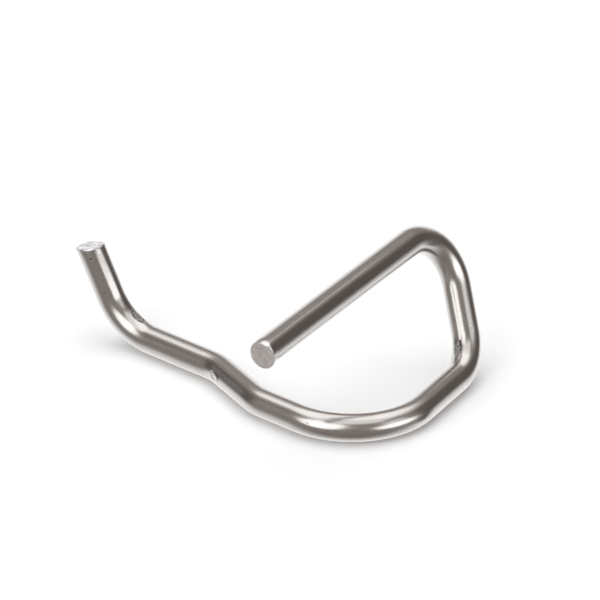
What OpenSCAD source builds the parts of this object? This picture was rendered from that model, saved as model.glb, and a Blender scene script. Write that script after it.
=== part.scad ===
// Hitch clip bent from one length of round spring wire.
// The foot, arm, neck and toe lie flat. The head climbs from the foot to the straight leg, which stands
// clear above the foot and goes through a cross hole. The tip turns up as a thumb lift.

/* [Wire] */
// Diameter of the drawn wire
wire_d = 2.4; // [1.6:0.1:3]
// How much thinner the wire is where it has been drawn round a bend
draw_down = 0.02; // [0.01:0.01:0.06]
// Edge break round the leg's cropped end
end_break = 0.12; // [0.05:0.01:0.4]

/* [Leg] */
// Leg, from its free end to its corner with the head
leg_length = 29.4; // [20:0.1:45]
// Height of the leg's centreline above the foot's
leg_height = 11; // [9:0.1:18]

/* [Head] */
// Slope of the head, in degrees above flat
head_slope = 61; // [45:1:75]
// Swing of the head away from the leg's line, in plan
head_swing = 37; // [25:1:60]
// Bend radius between the leg and the head
head_bend_r = 4.4; // [3:0.1:6]
// Bend radius between the head and the foot
heel_bend_r = 3.9; // [3:0.1:6]

/* [Foot] */
// Foot, corner to corner
foot_length = 17.3; // [14:0.1:26]
// Splay of the foot from the leg's line, in plan
foot_splay = 3; // [0:1:15]
// Turn from the foot into the arm, in plan
arm_turn = 104; // [85:1:115]
// Bend radius between the foot and the arm
arm_bend_r = 6.6; // [4:0.1:8]

/* [Arm] */
// Arm, corner to corner
arm_length = 13; // [11:0.1:24]
// Neck, corner to corner
neck_length = 6.9; // [4:0.1:14]
// Turn into the neck, and back out of it, in plan
joggle_turn = 19; // [8:1:35]
// Bend radius at each end of the neck
joggle_bend_r = 5; // [3:0.1:8]
// Toe, corner to corner
toe_length = 10.6; // [7:0.1:20]

/* [Tip] */
// Tip, from its corner with the toe to the middle of its cut end
tip_length = 7.8; // [6:0.1:14]
// Slope of the tip, in degrees above flat
tip_slope = 66; // [40:1:80]
// Swing of the tip away from the toe's line, in plan
tip_swing = 16; // [0:1:35]
// Bend radius between the toe and the tip
tip_bend_r = 4.7; // [3:0.1:6]
// Slant of the sheared end, in degrees off square
shear_slant = 12; // [5:1:30]
// Way that the slant faces, in degrees round the tip from the inside of its bend
shear_turn = 40; // [0:5:355]

/* [Hidden] */
$fn = 64;

// Stretch of straight wire that laps into the bend beside it
lap = 0.05;
// Steps round a bend where the clip's reach is measured
reach_steps = 24;

// Straight runs in order, each as [length, heading, rise]
head_length = leg_height / sin(head_slope);
foot_heading = foot_splay - 90;
arm_heading = foot_heading - arm_turn;
runs = [
    [leg_length, 90, 0],
    [head_length, -head_swing, -head_slope],
    [foot_length, foot_heading, 0],
    [arm_length, arm_heading, 0],
    [neck_length, arm_heading - joggle_turn, 0],
    [toe_length, arm_heading, 0],
    [tip_length, arm_heading + tip_swing, tip_slope],
];
// Radius of the bend that follows each run but the last
bend_radii = [head_bend_r, heel_bend_r, arm_bend_r, joggle_bend_r, joggle_bend_r, tip_bend_r];
last_run = len(runs) - 1;

function unit(v) = v / norm(v);

// Way that run i goes, and the corner where it starts
function way(i) =
    let(heading = runs[i][1], rise = runs[i][2])
    [cos(rise) * cos(heading), cos(rise) * sin(heading), sin(rise)];
function corner(i) = i == 0 ? [0, 0, leg_height] : corner(i - 1) + runs[i - 1][0] * way(i - 1);

// Bend i joins run i to the next: its angle, and what it takes off each run's length
function bend_angle(i) = acos(way(i) * way(i + 1));
function setback(i) = i < 0 || i == last_run ? 0 : bend_radii[i] * tan(bend_angle(i) / 2);
// Towards the inside of bend i, square to the run before it and to the run after it
function inside_before(i) = unit(way(i + 1) - (way(i) * way(i + 1)) * way(i));
function inside_after(i) = unit((way(i) * way(i + 1)) * way(i + 1) - way(i));
function bend_centre(i) = corner(i + 1) - setback(i) * way(i) + bend_radii[i] * inside_before(i);

// A way square to run i
function run_side(i) = i < last_run ? inside_before(i) : inside_after(i - 1);

// Stations along the wire's centreline, each as [point, way]
function bend_station(i, angle) = [
    bend_centre(i) + bend_radii[i] * (sin(angle) * way(i) - cos(angle) * inside_before(i)),
    cos(angle) * way(i) + sin(angle) * inside_before(i)
];
stations = [
    [corner(0), way(0)],
    for (i = [0:last_run - 1], step = [0:reach_steps]) bend_station(i, bend_angle(i) * step / reach_steps),
    [corner(last_run + 1), way(last_run)],
];
// Reach of the wire's round section at a station along one axis
function section_reach(station, axis) = wire_d / 2 * sqrt(max(0, 1 - pow(station[1][axis], 2)));
function low(axis) = min([for (s = stations) s[0][axis] - section_reach(s, axis)]);
function high(axis) = max([for (s = stations) s[0][axis] + section_reach(s, axis)]);

// Stands its children at a point, with their X and Z turned to the given ways
module set_at(point, x, z) {
    y = cross(z, x);
    multmatrix([
        [x.x, y.x, z.x, point.x],
        [x.y, y.y, z.y, point.y],
        [x.z, y.z, z.z, point.z],
        [0, 0, 0, 1],
    ])
        children();
}

// Straight wire along run i, between two distances from the run's first corner
module straight(i, from, to) {
    set_at(corner(i) + from * way(i), run_side(i), way(i))
        cylinder(h = to - from, d = wire_d);
}

module bend(i) {
    set_at(bend_centre(i), -inside_before(i), cross(way(i), inside_before(i)))
        rotate_extrude(angle = bend_angle(i))
            translate([bend_radii[i], 0])
                circle(d = wire_d - draw_down);
}

// The leg is a true cylinder from its broken edge to the bend
module leg() {
    shank_length = leg_length - end_break - setback(0) + lap;
    set_at(corner(0), run_side(0), way(0)) {
        cylinder(h = end_break, d1 = wire_d - 2 * end_break, d2 = wire_d);
        translate([0, 0, end_break])
            cylinder(h = shank_length, d = wire_d);
    }
}

module sheared_tip() {
    difference() {
        straight(last_run, setback(last_run - 1) - lap, tip_length + wire_d);
        set_at(corner(last_run + 1), run_side(last_run), way(last_run))
            rotate([0, 0, shear_turn])
                rotate([0, shear_slant, 0])
                    translate([-wire_d, -wire_d, 0])
                        cube(2 * wire_d);
    }
}

module clip() {
    color("silver")
        translate([-(low(0) + high(0)) / 2, -(low(1) + high(1)) / 2, -low(2)])
            union() {
                leg();
                for (i = [1:last_run - 1]) straight(i, setback(i - 1) - lap, runs[i][0] - setback(i) + lap);
                sheared_tip();
                for (i = [0:last_run - 1]) bend(i);
            }
}

clip();
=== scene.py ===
"""A hitch clip bent from one length of bright spring wire, dressed for its looks in a small studio.

Lengths are in millimetres and angles in degrees, as in the part's source, until a point goes into a mesh.
The studio is in metres.
"""

import math

import bpy
from mathutils import Matrix, Vector


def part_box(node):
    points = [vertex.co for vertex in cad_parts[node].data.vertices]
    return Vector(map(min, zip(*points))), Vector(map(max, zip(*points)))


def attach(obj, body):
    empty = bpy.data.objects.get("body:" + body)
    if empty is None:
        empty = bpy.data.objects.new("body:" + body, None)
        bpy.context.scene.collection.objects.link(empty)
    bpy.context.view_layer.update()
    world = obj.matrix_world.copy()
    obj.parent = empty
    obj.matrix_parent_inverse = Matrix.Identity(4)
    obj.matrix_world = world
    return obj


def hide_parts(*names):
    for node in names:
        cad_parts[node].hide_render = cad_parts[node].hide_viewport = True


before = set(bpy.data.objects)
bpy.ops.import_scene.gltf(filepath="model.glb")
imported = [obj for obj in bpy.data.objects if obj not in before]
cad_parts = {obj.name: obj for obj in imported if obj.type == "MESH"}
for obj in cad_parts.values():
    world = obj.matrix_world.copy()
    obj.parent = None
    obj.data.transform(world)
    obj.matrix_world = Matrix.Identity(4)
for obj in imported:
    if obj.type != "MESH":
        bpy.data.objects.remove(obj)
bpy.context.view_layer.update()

MM = 0.001

# Wire
WIRE_D = 2.4
WIRE_R = WIRE_D / 2
LEG_LENGTH = 29.4
LEG_HEIGHT = 11
HEAD_SLOPE = 61
HEAD_SWING = 37
FOOT_LENGTH = 17.3
FOOT_SPLAY = 3
ARM_TURN = 104
ARM_LENGTH = 13
NECK_LENGTH = 6.9
JOGGLE_TURN = 19
TOE_LENGTH = 10.6
TIP_LENGTH = 7.8
TIP_SLOPE = 66
TIP_SWING = 16
SHEAR_SLANT = 12
SHEAR_TURN = 40

# Radius of each bend's centreline, from the leg to the tip
BEND_RADII = [4.4, 3.9, 6.6, 5, 5, 4.7]
HEEL_BEND = 1
TIP_BEND = 5
NECK_RUN = 4

# Rounding of the cropped leg and of the sheared tip, and the faces across each
LEG_EDGE = 0.2
TIP_EDGE = 0.12
EDGE_FACES = 4

# The wire's material slots
DRAWN_SLOT, CROPPED_SLOT, SHEARED_SLOT = range(3)

# Faces round the wire, and the length of one face along it. What carries tool marks has shorter ones.
FACES_ROUND = 160
FACE_LENGTH = 0.3
MARKED_BENDS = {HEEL_BEND: 0.1, TIP_BEND: 0.1}
MARKED_RUNS = {NECK_RUN: 0.06}

# Wire without rings on each side of the tip's shear
SHEAR_ROOM = 0.9

# The cropping blade pulled the leg's end this far off its line, over this length of wire
CROP_PULL = 0.12
CROP_REACH = 0.7
CROP_WAY = Vector((0.7, 0, -0.71))

# The leg's edge is rolled over where the blade came in and where the offcut tore away, and crisper between.
# Each place is in degrees round the leg from its top, with how far it reaches to each side.
EDGE_ROLLS = [(14, 44), (-120, 80)]
CRISP_SHARE = 0.35

# The blade smeared the first of those places this far to each side
SMEAR_REACH = 32

# Flats that the forming jaws pressed, each as (distance along the wire, degrees round it, half its length,
# depth, how dark it is painted). The dark is partly the jaws' scuff and partly painted reflection and shade.
JAW_FLATS = [
    (79.5, 137, 1.1, 0.075, 0.85),
    (37.45, 152, 0.95, 0.055, 0.08),
]

# Dark streaks at the heel bend, partly scrapes by the jaws and partly a painted reflection of the foot, each
# as (where it starts, where it ends, half its width, how dark it is). A place is (distance along the wire,
# degrees round it).
SCRAPES_AND_PAINTED_REFLECTION = [
    ((36.5, 146), (38.0, 138), 0.14, 1.05),
    ((37.2, 169), (37.9, 166), 0.16, 0.5),
]

# A flat is painted dark from its edge on, where it is this deep, and painted paler by this share where it is
# deepest
EDGE_DEPTH = 0.004
MIDDLE_DEPTH = 0.05
MIDDLE_PALING = 0.35

# A small blister in the neck: where it is, its rim's radius along the wire and round it, and its height
BLISTER = (68.38, 43, 0.56, 0.34, 0.045)

# How wide the blister's rim and its sunken middle are, as shares of its radius, and how deep the middle is,
# as a share of its height
RIM_WIDTH = 0.3
MIDDLE_WIDTH = 0.6
MIDDLE_SINK = 0.3

# Pits in the surface, each as (distance along the wire, degrees round it, radius, how much grime and painted
# shade they hold)
PITS = [
    (35.19, 93, 0.1, 0.0),
    (49.99, 24.7, 0.12, 0.0),
    (56.88, 63, 0.1, 0.0),
    (68.3, 54, 0.12, 1.2),
    (83.42, 68.5, 0.15, 0.9),
    (86.57, 66.5, 0.16, 0.9),
]

# Straight runs from the leg's free end to the tip, each as (length, heading, rise)
HEAD_LENGTH = LEG_HEIGHT / math.sin(math.radians(HEAD_SLOPE))
FOOT_HEADING = FOOT_SPLAY - 90
ARM_HEADING = FOOT_HEADING - ARM_TURN
RUNS = [
    (LEG_LENGTH, 90, 0),
    (HEAD_LENGTH, -HEAD_SWING, -HEAD_SLOPE),
    (FOOT_LENGTH, FOOT_HEADING, 0),
    (ARM_LENGTH, ARM_HEADING, 0),
    (NECK_LENGTH, ARM_HEADING - JOGGLE_TURN, 0),
    (TOE_LENGTH, ARM_HEADING, 0),
    (TIP_LENGTH, ARM_HEADING + TIP_SWING, TIP_SLOPE),
]
LAST_RUN = len(RUNS) - 1


def way(run):
    """The direction that a run goes in."""
    heading = math.radians(RUNS[run][1])
    rise = math.radians(RUNS[run][2])
    flat = Vector((math.cos(heading), math.sin(heading), 0))
    return math.cos(rise) * flat + Vector((0, 0, math.sin(rise)))


def corner(run):
    """The corner where a run starts. The first is the leg's free end."""
    place = Vector((0, 0, LEG_HEIGHT))
    for done in range(run):
        place += RUNS[done][0] * way(done)
    return place


def bend_angle(bend):
    """How far a bend turns the wire."""
    return way(bend).angle(way(bend + 1))


def setback(bend):
    """What a bend takes off each of its two runs. There is none before the leg or after the tip."""
    if bend < 0 or bend == LAST_RUN:
        return 0
    return BEND_RADII[bend] * math.tan(bend_angle(bend) / 2)


def bend_inside(bend):
    """Towards the inside of a bend, square to the run before it."""
    return (way(bend + 1) - way(bend).dot(way(bend + 1)) * way(bend)).normalized()


def draw_straight(run, length, steps=None):
    """Draws the wire's open end on along a run, and returns how far apart its rings are."""
    steps = steps or round(length / MARKED_RUNS.get(run, FACE_LENGTH))
    step = way(run) * (length / steps * MM)
    for _ in range(steps):
        bpy.ops.mesh.extrude_region_move(TRANSFORM_OT_translate={"value": step})
    return [length / steps] * steps


def draw_bend(bend):
    """Draws the wire's open end on round a bend, and returns how far apart its rings are."""
    centre = corner(bend + 1) - setback(bend) * way(bend) + BEND_RADII[bend] * bend_inside(bend)
    arc = bend_angle(bend) * BEND_RADII[bend]
    steps = round(arc / MARKED_BENDS.get(bend, FACE_LENGTH))
    # The operator turns left-handed round its axis
    axis = -way(bend).cross(bend_inside(bend))
    bpy.ops.mesh.spin(steps=steps, angle=bend_angle(bend), center=centre * MM, axis=axis)
    return [arc / steps] * steps


def draw_wire():
    """Draws one round section along every run and round every bend, as the wire goes through its tools."""
    bpy.ops.object.select_all(action="DESELECT")
    bpy.ops.mesh.primitive_circle_add(
        vertices=FACES_ROUND,
        radius=WIRE_R * MM,
        fill_type="NOTHING",
        location=corner(0) * MM,
        rotation=way(0).to_track_quat("Z", "Y").to_euler(),
    )
    bpy.ops.object.transform_apply(location=True, rotation=True, scale=True)
    bpy.ops.object.mode_set(mode="EDIT")
    bpy.ops.mesh.select_all(action="SELECT")
    gaps = [0]
    for run in range(LAST_RUN):
        gaps += draw_straight(run, RUNS[run][0] - setback(run - 1) - setback(run))
        gaps += draw_bend(run)
    gaps += draw_straight(LAST_RUN, TIP_LENGTH - setback(LAST_RUN - 1) - SHEAR_ROOM)
    gaps += draw_straight(LAST_RUN, 2 * SHEAR_ROOM, steps=1)
    bpy.ops.object.mode_set(mode="OBJECT")
    return bpy.context.object, gaps


def unrolled(along, turn):
    """A place on the wire's surface, laid out flat."""
    return Vector((along, turn * WIRE_R))


def jaw_mark_and_painted_dark(along, turn):
    """How deep the jaws flattened the wire at a place on it, and how dark it is painted there: partly their
    scuff, partly painted reflection and shade.
    """
    deepest = 0
    darkest = 0
    for mark_along, mark_turn, half_length, most_depth, tone in JAW_FLATS:
        apart = (along - mark_along) / half_length
        aside = math.remainder(turn - math.radians(mark_turn), math.tau)
        if abs(apart) < 1 and abs(aside) < 1:
            flat = WIRE_R - most_depth * (1 - apart**2)
            depth = max(0, WIRE_R - flat / math.cos(aside))
            paled = 1 - MIDDLE_PALING * min(1, depth / MIDDLE_DEPTH)
            deepest = max(deepest, depth)
            darkest = max(darkest, tone * paled * min(1, depth / EDGE_DEPTH))
    for start, end, half_width, tone in SCRAPES_AND_PAINTED_REFLECTION:
        first = unrolled(start[0], math.radians(start[1]))
        streak = unrolled(end[0], math.radians(end[1])) - first
        here = unrolled(along, turn) - first
        share = min(1, max(0, here.dot(streak) / streak.length_squared))
        apart = (here - share * streak).length / half_width
        darkest = max(darkest, tone * (1 - min(1, apart) ** 2))
    return deepest, darkest


def blister_height(along, turn):
    """The height of the blister's rim, and below zero in its sunken middle."""
    mark_along, mark_turn, radius_along, radius_round, height = BLISTER
    aside = math.remainder(turn - math.radians(mark_turn), math.tau) * WIRE_R
    apart = math.hypot((along - mark_along) / radius_along, aside / radius_round)
    rim = math.exp(-(((apart - 1) / RIM_WIDTH) ** 2))
    middle = math.exp(-((apart / MIDDLE_WIDTH) ** 2))
    return height * (rim - MIDDLE_SINK * middle)


def end_pull(along):
    """How far the blade pulled the leg off its line at a distance from its end."""
    return max(0, 1 - along / CROP_REACH) ** 2 * CROP_PULL * CROP_WAY


def mark_wire(wire, gaps):
    """Presses the tool marks in, and notes where each point lay in the straight wire and how dark it is
    painted, partly for the tool marks and partly as painted reflection and shade.
    """
    wire.data.attributes.new("drawn", "FLOAT_VECTOR", "POINT")
    wire.data.attributes.new("jaw_and_painted_dark", "FLOAT", "POINT")
    # A new attribute moves the others in memory, so both are fetched only now
    drawn = wire.data.attributes["drawn"]
    jaw_and_painted_dark = wire.data.attributes["jaw_and_painted_dark"]
    points = wire.data.vertices
    along = 0
    for ring, gap in enumerate(gaps):
        along += gap
        ring_points = range(ring * FACES_ROUND, (ring + 1) * FACES_ROUND)
        centre = sum((points[i].co for i in ring_points), Vector()) / FACES_ROUND
        pull = end_pull(along)
        for spoke, i in enumerate(ring_points):
            turn = math.tau * spoke / FACES_ROUND
            drawn.data[i].vector = (WIRE_R * math.cos(turn), WIRE_R * math.sin(turn), along)
            depth, jaw_and_painted_dark.data[i].value = jaw_mark_and_painted_dark(along, turn)
            outwards = (points[i].co - centre).normalized()
            points[i].co += (outwards * (blister_height(along, turn) - depth) + pull) * MM


def shear_tip(wire):
    """Shears the spare wire off the tip on a slant."""
    inside = (way(LAST_RUN - 1).dot(way(LAST_RUN)) * way(LAST_RUN) - way(LAST_RUN - 1)).normalized()
    sideways = Matrix.Rotation(math.radians(SHEAR_TURN), 3, way(LAST_RUN)) @ inside
    face_way = Matrix.Rotation(math.radians(SHEAR_SLANT), 3, way(LAST_RUN).cross(sideways)) @ way(LAST_RUN)
    end = corner(LAST_RUN + 1) * MM
    for vertex in wire.data.vertices:
        vertex.select = (vertex.co - end).length < WIRE_D * MM
    bpy.ops.object.mode_set(mode="EDIT")
    bpy.ops.mesh.bisect(plane_co=end, plane_no=face_way, use_fill=True, clear_outer=True)
    bpy.ops.object.mode_set(mode="OBJECT")


def crop_leg():
    """Closes the leg's open end with its cropped face."""
    bpy.ops.object.mode_set(mode="EDIT")
    bpy.ops.mesh.select_mode(type="EDGE")
    bpy.ops.mesh.select_all(action="DESELECT")
    bpy.ops.mesh.select_non_manifold()
    bpy.ops.mesh.edge_face_add()
    bpy.ops.mesh.select_all(action="SELECT")
    bpy.ops.mesh.normals_make_consistent(inside=False)
    bpy.ops.object.mode_set(mode="OBJECT")


def is_cut(face):
    """Whether a face is one of the two cut ends, which are the only faces with many sides."""
    return len(face.vertices) > FACES_ROUND / 2


def round_end(wire, end, edge, slot):
    """Rounds the edge of the cut face at one end of the wire, and gives both their own material slot."""
    bpy.ops.object.mode_set(mode="EDIT")
    bpy.ops.mesh.select_mode(type="FACE")
    bpy.ops.mesh.select_all(action="DESELECT")
    bpy.ops.object.mode_set(mode="OBJECT")
    for face in wire.data.polygons:
        face.select = is_cut(face) and (face.center - end * MM).length < WIRE_R * MM
        if face.select:
            face.material_index = slot
    bpy.ops.object.mode_set(mode="EDIT")
    bpy.ops.mesh.bevel(offset=edge * MM, segments=EDGE_FACES, affect="EDGES", material=slot)
    bpy.ops.object.mode_set(mode="OBJECT")


def off_roll(offset, place):
    """How many degrees round the leg a sideways offset from its centreline is from a place on its edge."""
    return abs(math.remainder(math.degrees(math.atan2(offset.x, offset.z)) - place, 360))


def leg_centre(back):
    """The middle of the leg's pulled end, this far back from its face and before the wire's second ring."""
    lean = (end_pull(FACE_LENGTH) - end_pull(0)) / FACE_LENGTH
    return corner(0) + back * way(0) + end_pull(0) + lean * back


def crop_edge(wire):
    """Leaves the leg's edge rolled over in its two places, and crisper between them."""
    for vertex in wire.data.vertices:
        back = (vertex.co / MM - corner(0)).dot(way(0))
        # The rounded edge ends before the wire's second ring, and only the leg stands this high here
        if back < (LEG_EDGE + FACE_LENGTH) / 2 and vertex.co.z > LEG_HEIGHT * MM / 2:
            spoke = vertex.co / MM - leg_centre(back)
            rolled = max(1 - (off_roll(spoke, place) / reach) ** 2 for place, reach in EDGE_ROLLS)
            share = CRISP_SHARE + (1 - CRISP_SHARE) * max(0, rolled)
            radius = WIRE_R - (WIRE_R - spoke.length) * share
            vertex.co = (leg_centre(back * share) + spoke.normalized() * radius) * MM


def smear_edge(wire):
    """Gives the leg's edge, where the blade came in, the smoother steel of the tip's face."""
    blade_place = EDGE_ROLLS[0][0]
    for face in wire.data.polygons:
        if face.material_index == CROPPED_SLOT and not is_cut(face):
            if off_roll(face.normal, blade_place) < SMEAR_REACH:
                face.material_index = SHEARED_SLOT


def seat_in_box(piece, node):
    """Moves the piece's mesh so that its box is centred over the node's and stands at the same height."""
    low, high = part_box(node)
    own = list(zip(*(vertex.co for vertex in piece.data.vertices)))
    shift = Vector([(low[axis] + high[axis] - min(own[axis]) - max(own[axis])) / 2 for axis in range(3)])
    shift.z = low[2] - min(own[2])
    piece.data.transform(Matrix.Translation(shift))


wire, ring_gaps = draw_wire()
wire.name = wire.data.name = "clip_wire"
for _ in (DRAWN_SLOT, CROPPED_SLOT, SHEARED_SLOT):
    wire.data.materials.append(None)
mark_wire(wire, ring_gaps)
shear_tip(wire)
crop_leg()
round_end(wire, corner(0), LEG_EDGE, CROPPED_SLOT)
crop_edge(wire)
smear_edge(wire)
round_end(wire, corner(LAST_RUN + 1), TIP_EDGE, SHEARED_SLOT)
for face in wire.data.polygons:
    face.use_smooth = not is_cut(face)
seat_in_box(wire, "clip")

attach(wire, "root")
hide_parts("clip")


def linear(code):
    """An sRGB hex colour as the linear colour that a socket takes."""
    parts = [int(code[i : i + 2], 16) / 255 for i in (1, 3, 5)]
    return tuple(c / 12.92 if c <= 0.04045 else ((c + 0.055) / 1.055) ** 2.4 for c in parts) + (1.0,)


def add_node(tree, kind, settings=None, inputs=None):
    """Adds a node with its settings, its socket values and its links."""
    node = tree.nodes.new(kind)
    for name, value in (settings or {}).items():
        setattr(node, name, value)
    for name, value in (inputs or {}).items():
        socket = node.inputs[name]
        if isinstance(value, bpy.types.NodeSocket):
            tree.links.new(value, socket)
        else:
            socket.default_value = value
    return node


def new_material(name):
    """An empty node material, with its tree and the end that a shader goes to."""
    material = bpy.data.materials.new(name)
    material.use_nodes = True
    material.node_tree.nodes.clear()
    output = add_node(material.node_tree, "ShaderNodeOutputMaterial")
    return material, material.node_tree, output.inputs["Surface"]


# Stainless spring wire, drawn through a die and left bright. It is a mirror with a soft edge to every
# reflection, finely lined along its length, and faintly rippled. A lighter line down the leg is a painted
# highlight. The flats and streaks where the jaws held it are rougher, mottled and painted darker, partly for
# their scuff and partly as painted reflection and shade, and a few specks in its pits are painted dark,
# partly for grime and partly as painted shade.
STEEL_LIGHT = "#BFBDBB"
STEEL_DARK = "#B6B3B1"
# Painted dark for the jaw flats and streaks: partly their scuff, partly painted reflection and shade
JAW_STEEL_AND_PAINTED_DARK = "#4E4843"
STEEL_ROUGH = 0.24
# What the die lines take off that and add to it
LINE_ROUGH = (-0.03, 0.04)
JAW_ROUGH = 0.72
# The jaw marks are made rough more fully than they are painted dark
JAW_SCUFF = 14

# Die lines are a few hundredths of a millimetre apart on the real wire. They are drawn wider, so as to show.
DIE_LINE_WIDTH = 0.14
DIE_LINE_LENGTH = 9
DIE_LINE_HEIGHT = 0.0004
# A lighter line painted down the leg, as a painted highlight of a thin reflected line of light. Its place is
# in degrees round the wire, and it fades out between two distances along it.
HIGHLIGHT_LINE_PLACE = 24.5
HIGHLIGHT_LINE_WIDTH = 0.12
HIGHLIGHT_LINE_FADE = (12, 21)
HIGHLIGHT_LINE_STEEL = "#DAD7D5"
RIPPLE_WIDTH = 0.7
RIPPLE_HEIGHT = 0.003
CLOUD_WIDTH = 1.6
MOTTLE_WIDTH = 0.22
# Noise stays near a half, so these parts of its range are spread over what they drive
LINE_SPREAD = (0.3, 0.7)
MOTTLE_SPREAD = (0.43, 0.57)
# Least and most of a jaw mark, and of its painted dark, that shows through its mottle
MOTTLE_SHARE = (0.05, 1.15)
JAW_HEIGHT = 0.01
PIT_DEPTH = 0.02
# The pits' dark colour: partly grime, partly painted shade in the hollows
GRIME_AND_PAINTED_SHADE = "#4A4541"


def on_wire(along, turn):
    """Where a place on the wire lay in the straight wire, as the drawn attribute has it."""
    return (WIRE_R * math.cos(math.radians(turn)), WIRE_R * math.sin(math.radians(turn)), along)


def soft_spot(tree, point, middle, radius, most):
    """What is most in the middle of a round spot on the wire, and falls smoothly to zero at its rim."""
    apart = add_node(tree, "ShaderNodeVectorMath", {"operation": "DISTANCE"}, {0: point, 1: middle})
    return add_node(
        tree, "ShaderNodeMapRange", {"interpolation_type": "SMOOTHSTEP"},
        {"Value": apart.outputs["Value"], "From Min": 0.0, "From Max": radius,
         "To Min": most, "To Max": 0.0},
    ).outputs["Result"]


def highlight_line_share(tree, drawn):
    """One in the middle of the painted highlight line, and zero beside it and past its end."""
    flattened = add_node(
        tree, "ShaderNodeVectorMath", {"operation": "MULTIPLY"}, {0: drawn, 1: (1.0, 1.0, 0.0)}
    )
    across = soft_spot(tree, flattened.outputs["Vector"], on_wire(0.0, HIGHLIGHT_LINE_PLACE), HIGHLIGHT_LINE_WIDTH, 1.0)
    along = add_node(tree, "ShaderNodeSeparateXYZ", None, {"Vector": drawn})
    faded = add_node(
        tree, "ShaderNodeMapRange", {"interpolation_type": "SMOOTHSTEP"},
        {"Value": along.outputs["Z"], "From Min": HIGHLIGHT_LINE_FADE[0], "From Max": HIGHLIGHT_LINE_FADE[1],
         "To Min": 1.0, "To Max": 0.0},
    )
    return add_node(
        tree, "ShaderNodeMath", {"operation": "MULTIPLY"}, {0: across, 1: faded.outputs["Result"]}
    ).outputs["Value"]


def pits(tree, drawn):
    """The height of the surface in the pits, and how dark they are painted, partly for dirt and partly as
    painted shade.
    """
    height = None
    grime_and_shade = None
    for along, turn, radius, held in PITS:
        sunk = soft_spot(tree, drawn, on_wire(along, turn), radius, -1.0)
        dark = soft_spot(tree, drawn, on_wire(along, turn), radius, held)
        if height is None:
            height, grime_and_shade = sunk, dark
            continue
        height = add_node(
            tree, "ShaderNodeMath", {"operation": "MINIMUM"}, {0: height, 1: sunk}
        ).outputs["Value"]
        grime_and_shade = add_node(
            tree, "ShaderNodeMath", {"operation": "MAXIMUM"}, {0: grime_and_shade, 1: dark}
        ).outputs["Value"]
    return height, grime_and_shade


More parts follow.
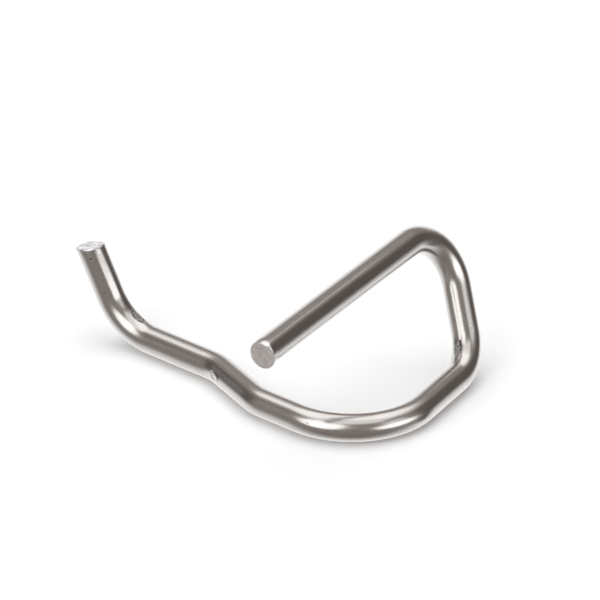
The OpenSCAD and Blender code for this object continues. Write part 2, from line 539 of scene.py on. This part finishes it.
def bright_wire():
    """The drawn wire's material, with all the marks on it, its painted highlight line and its painted dark
    reflection and shade.
    """
    steel, tree, surface = new_material("stainless spring wire, bright drawn")
    drawn = add_node(tree, "ShaderNodeAttribute", {"attribute_name": "drawn"}).outputs["Vector"]
    jaw_and_painted_dark = add_node(tree, "ShaderNodeAttribute", {"attribute_name": "jaw_and_painted_dark"}).outputs["Fac"]

    along_lines = add_node(
        tree, "ShaderNodeMapping", None,
        {"Vector": drawn, "Scale": (1 / DIE_LINE_WIDTH, 1 / DIE_LINE_WIDTH, 1 / DIE_LINE_LENGTH)},
    )
    lines = add_node(
        tree, "ShaderNodeTexNoise", None,
        {"Vector": along_lines.outputs["Vector"], "Scale": 1.0, "Detail": 3.0},
    )
    clouds = add_node(
        tree, "ShaderNodeTexNoise", None, {"Vector": drawn, "Scale": 1 / CLOUD_WIDTH, "Detail": 4.0}
    )
    ripple = add_node(
        tree, "ShaderNodeTexNoise", None, {"Vector": drawn, "Scale": 1 / RIPPLE_WIDTH, "Detail": 2.0}
    )
    mottle = add_node(
        tree, "ShaderNodeTexNoise", None, {"Vector": drawn, "Scale": 1 / MOTTLE_WIDTH, "Detail": 3.0}
    )
    mottled = add_node(
        tree, "ShaderNodeMapRange", None,
        {"Value": mottle.outputs["Fac"], "From Min": MOTTLE_SPREAD[0], "From Max": MOTTLE_SPREAD[1],
         "To Min": MOTTLE_SHARE[0], "To Max": MOTTLE_SHARE[1]},
    )
    jaw_and_painted_dark_share = add_node(
        tree, "ShaderNodeMath", {"operation": "MULTIPLY"}, {0: jaw_and_painted_dark, 1: mottled.outputs["Result"]}
    )
    pit_height, pit_grime_and_shade = pits(tree, drawn)

    clean = add_node(
        tree, "ShaderNodeMix", {"data_type": "RGBA"},
        {"Factor": clouds.outputs["Fac"], "A": linear(STEEL_LIGHT), "B": linear(STEEL_DARK)},
    )
    # A painted highlight line down the leg
    highlight_lined = add_node(
        tree, "ShaderNodeMix", {"data_type": "RGBA"},
        {"Factor": highlight_line_share(tree, drawn), "A": clean.outputs["Result"], "B": linear(HIGHLIGHT_LINE_STEEL)},
    )
    # The jaw marks painted dark: partly scuff, partly painted reflection and shade
    gripped_and_painted_dark = add_node(
        tree, "ShaderNodeMix", {"data_type": "RGBA"},
        {"Factor": jaw_and_painted_dark_share.outputs["Value"], "A": highlight_lined.outputs["Result"], "B": linear(JAW_STEEL_AND_PAINTED_DARK)},
    )
    # The pits painted dark: partly grime, partly painted shade
    grimy_and_shaded = add_node(
        tree, "ShaderNodeMix", {"data_type": "RGBA"},
        {"Factor": pit_grime_and_shade, "A": gripped_and_painted_dark.outputs["Result"], "B": linear(GRIME_AND_PAINTED_SHADE)},
    )

    line_rough = add_node(
        tree, "ShaderNodeMapRange", None,
        {"Value": lines.outputs["Fac"], "From Min": LINE_SPREAD[0], "From Max": LINE_SPREAD[1],
         "To Min": STEEL_ROUGH + LINE_ROUGH[0], "To Max": STEEL_ROUGH + LINE_ROUGH[1]},
    )
    scuffed = add_node(
        tree, "ShaderNodeMath", {"operation": "MULTIPLY"}, {0: jaw_and_painted_dark_share.outputs["Value"], 1: JAW_SCUFF}
    )
    rough = add_node(
        tree, "ShaderNodeMix", {"data_type": "FLOAT"},
        {"Factor": scuffed.outputs["Value"], "A": line_rough.outputs["Result"], "B": JAW_ROUGH},
    )

    line_bump = add_node(
        tree, "ShaderNodeBump", None, {"Height": lines.outputs["Fac"], "Distance": DIE_LINE_HEIGHT * MM}
    )
    ripple_bump = add_node(
        tree, "ShaderNodeBump", None,
        {"Height": ripple.outputs["Fac"], "Distance": RIPPLE_HEIGHT * MM,
         "Normal": line_bump.outputs["Normal"]},
    )
    jaw_bump = add_node(
        tree, "ShaderNodeBump", None,
        {"Height": jaw_and_painted_dark_share.outputs["Value"], "Distance": JAW_HEIGHT * MM,
         "Normal": ripple_bump.outputs["Normal"]},
    )
    pit_bump = add_node(
        tree, "ShaderNodeBump", None,
        {"Height": pit_height, "Distance": PIT_DEPTH * MM, "Normal": jaw_bump.outputs["Normal"]},
    )
    shader = add_node(
        tree, "ShaderNodeBsdfPrincipled", None,
        {"Base Color": grimy_and_shaded.outputs["Result"], "Roughness": rough.outputs["Result"],
         "Normal": pit_bump.outputs["Normal"], "Metallic": 1.0},
    )
    tree.links.new(shader.outputs["BSDF"], surface)
    return steel


wire.data.materials[DRAWN_SLOT] = bright_wire()

# Width of the grain that a cut leaves, and the part of its noise that the two greys are spread over
GRAIN_WIDTH = 0.42
GRAIN_SPREAD = (0.38, 0.62)


def cut_face(name, light, dark, roughness, grain_height):
    """A material for a cut end, of one grain in two greys."""
    material, tree, surface = new_material(name)
    place = add_node(tree, "ShaderNodeAttribute", {"attribute_name": "drawn"}).outputs["Vector"]
    grain = add_node(
        tree, "ShaderNodeTexNoise", None, {"Vector": place, "Scale": 1 / GRAIN_WIDTH, "Detail": 3.0}
    )
    patches = add_node(
        tree, "ShaderNodeMapRange", None,
        {"Value": grain.outputs["Fac"], "From Min": GRAIN_SPREAD[0], "From Max": GRAIN_SPREAD[1]},
    )
    colour = add_node(
        tree, "ShaderNodeMix", {"data_type": "RGBA"},
        {"Factor": patches.outputs["Result"], "A": linear(light), "B": linear(dark)},
    )
    bump = add_node(
        tree, "ShaderNodeBump", None, {"Height": grain.outputs["Fac"], "Distance": grain_height * MM}
    )
    shader = add_node(
        tree, "ShaderNodeBsdfPrincipled", None,
        {"Base Color": colour.outputs["Result"], "Roughness": roughness, "Metallic": 1.0,
         "Normal": bump.outputs["Normal"]},
    )
    tree.links.new(shader.outputs["BSDF"], surface)
    return material


# The same wire where a cropping blade went through it: torn matt grey steel that scatters the light.
wire.data.materials[CROPPED_SLOT] = cut_face(
    "stainless spring wire, cropped end", light="#DAD7D6", dark="#C8C4C2", roughness=0.6, grain_height=0.006
)
# The tip was sheared more cleanly. Its face is smoother and whiter, and takes a soft shine.
wire.data.materials[SHEARED_SLOT] = cut_face(
    "stainless spring wire, sheared end", light="#ECEBEC", dark="#AEACAE", roughness=0.36, grain_height=0.01
)

# The studio. The camera stands far back, with a long lens.
CAMERA_AZIMUTH = 31.09
CAMERA_ELEVATION = 27.0
CAMERA_DISTANCE = 1.2
CAMERA_REACH = 10
SENSOR_WIDTH = 36
FRAME_WIDTH = 0.04984
LOOK_AT = Vector((3.714, 2.883, 7.815)) * MM
SIDE = Vector((math.cos(math.radians(CAMERA_AZIMUTH)), math.sin(math.radians(CAMERA_AZIMUTH)), 0))
BACK = Vector((-SIDE.y, SIDE.x, 0))
SQUARE_TO_CAMERA = (0, 0, math.radians(CAMERA_AZIMUTH))


def toward(azimuth, elevation):
    """The direction from the clip at an azimuth, counted from the camera to its right, and an elevation."""
    turn = math.radians(CAMERA_AZIMUTH + azimuth)
    lift = math.radians(elevation)
    return Vector((math.sin(turn) * math.cos(lift), -math.cos(turn) * math.cos(lift), math.sin(lift)))


camera_data = bpy.data.cameras.new("camera")
camera_data.sensor_width = SENSOR_WIDTH
camera_data.lens = SENSOR_WIDTH * CAMERA_DISTANCE / FRAME_WIDTH
camera_data.clip_end = CAMERA_REACH
camera = bpy.data.objects.new("camera", camera_data)
camera.location = LOOK_AT + toward(0, CAMERA_ELEVATION) * CAMERA_DISTANCE
camera.rotation_euler = (math.radians(90 - CAMERA_ELEVATION), 0, math.radians(CAMERA_AZIMUTH))
bpy.context.scene.collection.objects.link(camera)
bpy.context.scene.camera = camera


def softbox(name, shape, place, rotation, width, height, radiance):
    """A softbox that glows evenly over its face."""
    data = bpy.data.lights.new(name, "AREA")
    data.shape = shape
    data.size = width
    data.size_y = height
    face = width * height if shape == "RECTANGLE" else math.pi / 4 * width * height
    data.energy = radiance * math.pi * face
    box = bpy.data.objects.new(name, data)
    box.location = place
    box.rotation_euler = rotation
    box.visible_camera = False
    bpy.context.scene.collection.objects.link(box)


def facing(azimuth, elevation):
    """The rotation that turns a flat thing's front to the clip from an azimuth and elevation."""
    return toward(azimuth, elevation).to_track_quat("Z", "Y").to_euler()


SOFTBOX_DISTANCE = 1.6

# Round softboxes that face the clip, each as (name, azimuth, elevation, width, height, radiance)
OCTABOXES = [
    ("octabox_left", -39, 26.5, 1.68, 1.6, 1.95),
    ("octabox_right", 54.5, 6, 1.66, 0.8, 2.2),
]

# Softboxes that hang level, each as (name, metres to the side, to the back and up, width, depth, radiance).
# At one height they would hide each other in reflections.
LEVEL_SOFTBOXES = [
    ("softbox_overhead", -0.1, 0.2, 1.8, 2.4, 3.1, 1.0),
    ("softbox_back", 0.2, 0.85, 1.75, 2.8, 1.9, 0.55),
]
for name, azimuth, elevation, width, height, radiance in OCTABOXES:
    place = toward(azimuth, elevation) * SOFTBOX_DISTANCE
    softbox(name, "ELLIPSE", place, facing(azimuth, elevation), width, height, radiance)
for name, aside, behind, above, width, depth, radiance in LEVEL_SOFTBOXES:
    place = aside * SIDE + behind * BACK + Vector((0, 0, above))
    softbox(name, "RECTANGLE", place, SQUARE_TO_CAMERA, width, depth, radiance)


def reflected_glow(card):
    """Makes a card glow for reflections alone. Gives its node tree and the colour socket of its glow."""
    material, tree, surface = new_material(card.name)
    emission = add_node(tree, "ShaderNodeEmission", None, {"Strength": 1.0})
    tree.links.new(emission.outputs["Emission"], surface)
    card.data.materials.append(material)
    card.visible_camera = False
    card.visible_diffuse = False
    card.visible_shadow = False
    return tree, emission.inputs["Color"]


# Shares of its green and of its blue that the darkest grey keeps
GREEN_KEPT = 0.84
BLUE_KEPT = 0.74


def warm_grey(grey):
    """A grey that is warmer the darker it is, as the unlit side of a room is."""
    dark = max(0, 1 - grey)
    return (grey, grey * GREEN_KEPT**dark, grey * BLUE_KEPT**dark, 1)


def add_card(name, azimuth, distance, width, bottom, top, grey):
    """Stands a card upright, facing the clip, and makes it glow."""
    low = distance * math.tan(math.radians(bottom))
    high = distance * math.tan(math.radians(top))
    bpy.ops.object.select_all(action="DESELECT")
    place = toward(azimuth, 0) * distance + Vector((0, 0, (low + high) / 2))
    bpy.ops.mesh.primitive_plane_add(size=1, location=place, rotation=facing(azimuth, 0))
    card = bpy.context.object
    card.name = name
    card.scale = (width, high - low, 1)
    reflected_glow(card)[1].default_value = warm_grey(grey)


# Cards round the clip, each as (name, azimuth, distance, width, bottom, top, grey). Bottom and top are
# elevations. Two equal black curtains hang at the sides.
CURTAIN_AZIMUTH = 110
CARDS = [
    ("white_backdrop", 195, 1.2, 2.45, -8, 18, 1.38),
    ("lit_wall_right", 57, 1.5, 0.82, 21, 41, 1.15),
    ("black_flag", 97, 0.5, 0.17, -33, -4, 0.14),
    ("black_curtain_left", -CURTAIN_AZIMUTH, 1.8, 1.3, -8, 45, 0.15),
    ("black_curtain_right", CURTAIN_AZIMUTH, 1.8, 1.3, -8, 45, 0.15),
]
for card in CARDS:
    add_card(*card)

# The room round the clip: an even grey, over a white table that lies in shade in front of the clip
ROOM_RADIUS = 2.4
ROOM_GREY = 0.35
SHADED_TABLE_GREY = 0.3
WHITE_TABLE_GREY = 1.4

# Elevations between which the room turns into the table, and the table's rise to the back
TABLE_EDGE = (-8, -39)
TABLE_SLOPE = 0.34

# Angles from the upright plane through the clip, across the view, between which the shade turns into white
SHADE_EDGE = (-40, 25)
bpy.ops.object.select_all(action="DESELECT")
bpy.ops.mesh.primitive_uv_sphere_add(segments=64, ring_count=32, radius=ROOM_RADIUS)
room = bpy.context.object
room.name = "room"
room_tree, room_glow = reflected_glow(room)
room_point = add_node(room_tree, "ShaderNodeTexCoord").outputs["Object"]


def reach_along(direction):
    """How far a place in the room lies from the clip along a direction."""
    return add_node(
        room_tree, "ShaderNodeVectorMath", {"operation": "DOT_PRODUCT"}, {0: room_point, 1: direction}
    ).outputs["Value"]


def share_past(distance, edge):
    """Zero before an edge and one past it, where the edge is given by two angles from a plane."""
    start, end = (ROOM_RADIUS * math.sin(math.radians(angle)) for angle in edge)
    return add_node(
        room_tree, "ShaderNodeMapRange", {"interpolation_type": "SMOOTHSTEP"},
        {"Value": distance, "From Min": start, "From Max": end},
    ).outputs["Result"]


table = add_node(
    room_tree, "ShaderNodeMix", {"data_type": "RGBA"},
    {"Factor": share_past(reach_along(BACK), SHADE_EDGE), "A": warm_grey(SHADED_TABLE_GREY),
     "B": warm_grey(WHITE_TABLE_GREY)},
)
over_table = reach_along(Vector((0, 0, 1)) - TABLE_SLOPE * BACK)
whole = add_node(
    room_tree, "ShaderNodeMix", {"data_type": "RGBA"},
    {"Factor": share_past(over_table, TABLE_EDGE), "A": warm_grey(ROOM_GREY), "B": table.outputs["Result"]},
)
room_tree.links.new(whole.outputs["Result"], room_glow)

# Cartridge paper, calendered matt. It scatters light evenly and has no shine. Its fibres lie in faint clouds
# about 7 mm wide, and the pattern is counted across the whole floor.
PAPER_LIGHT = "#FFFFFF"
PAPER_DARK = "#FBFBFB"
PAPER_ROUGH = 0.9
PAPER_CLOUDS = 900.0
FLOOR_SIZE = 6
FLOOR_GAP = 0.00002
bpy.ops.object.select_all(action="DESELECT")
bpy.ops.mesh.primitive_plane_add(size=FLOOR_SIZE, location=(0, 0, -FLOOR_GAP))
floor = bpy.context.object
floor.name = "floor"
floor.visible_glossy = False
paper, paper_tree, paper_surface = new_material("cartridge paper, matt white")
fibres = add_node(paper_tree, "ShaderNodeTexNoise", None, {"Scale": PAPER_CLOUDS, "Detail": 2.0})
paper_colour = add_node(
    paper_tree, "ShaderNodeMix", {"data_type": "RGBA"},
    {"Factor": fibres.outputs["Fac"], "A": linear(PAPER_LIGHT), "B": linear(PAPER_DARK)},
)
paper_shader = add_node(
    paper_tree, "ShaderNodeBsdfPrincipled", None,
    {"Base Color": paper_colour.outputs["Result"], "Roughness": PAPER_ROUGH, "Specular IOR Level": 0.0},
)
paper_tree.links.new(paper_shader.outputs["BSDF"], paper_surface)
floor.data.materials.append(paper)

# The world is white to the camera and in reflections, and lights the floor less
ROOM_WHITE = "#FFFFFF"
ROOM_LIGHT = 0.33
world = bpy.data.worlds.new("studio")
world.use_nodes = True
bpy.context.scene.world = world
path = add_node(world.node_tree, "ShaderNodeLightPath").outputs
mirrored = add_node(
    world.node_tree, "ShaderNodeMath", {"operation": "MAXIMUM"},
    {0: path["Is Glossy Ray"], 1: path["Is Transmission Ray"]},
)
seen = add_node(
    world.node_tree, "ShaderNodeMath", {"operation": "MAXIMUM"},
    {0: path["Is Camera Ray"], 1: mirrored.outputs["Value"]},
)
strength = add_node(
    world.node_tree, "ShaderNodeMapRange", None, {"Value": seen.outputs["Value"], "To Min": ROOM_LIGHT}
)
background = world.node_tree.nodes["Background"]
background.inputs["Color"].default_value = linear(ROOM_WHITE)
world.node_tree.links.new(strength.outputs["Result"], background.inputs["Strength"])

bpy.context.scene.view_settings.view_transform = "Standard"
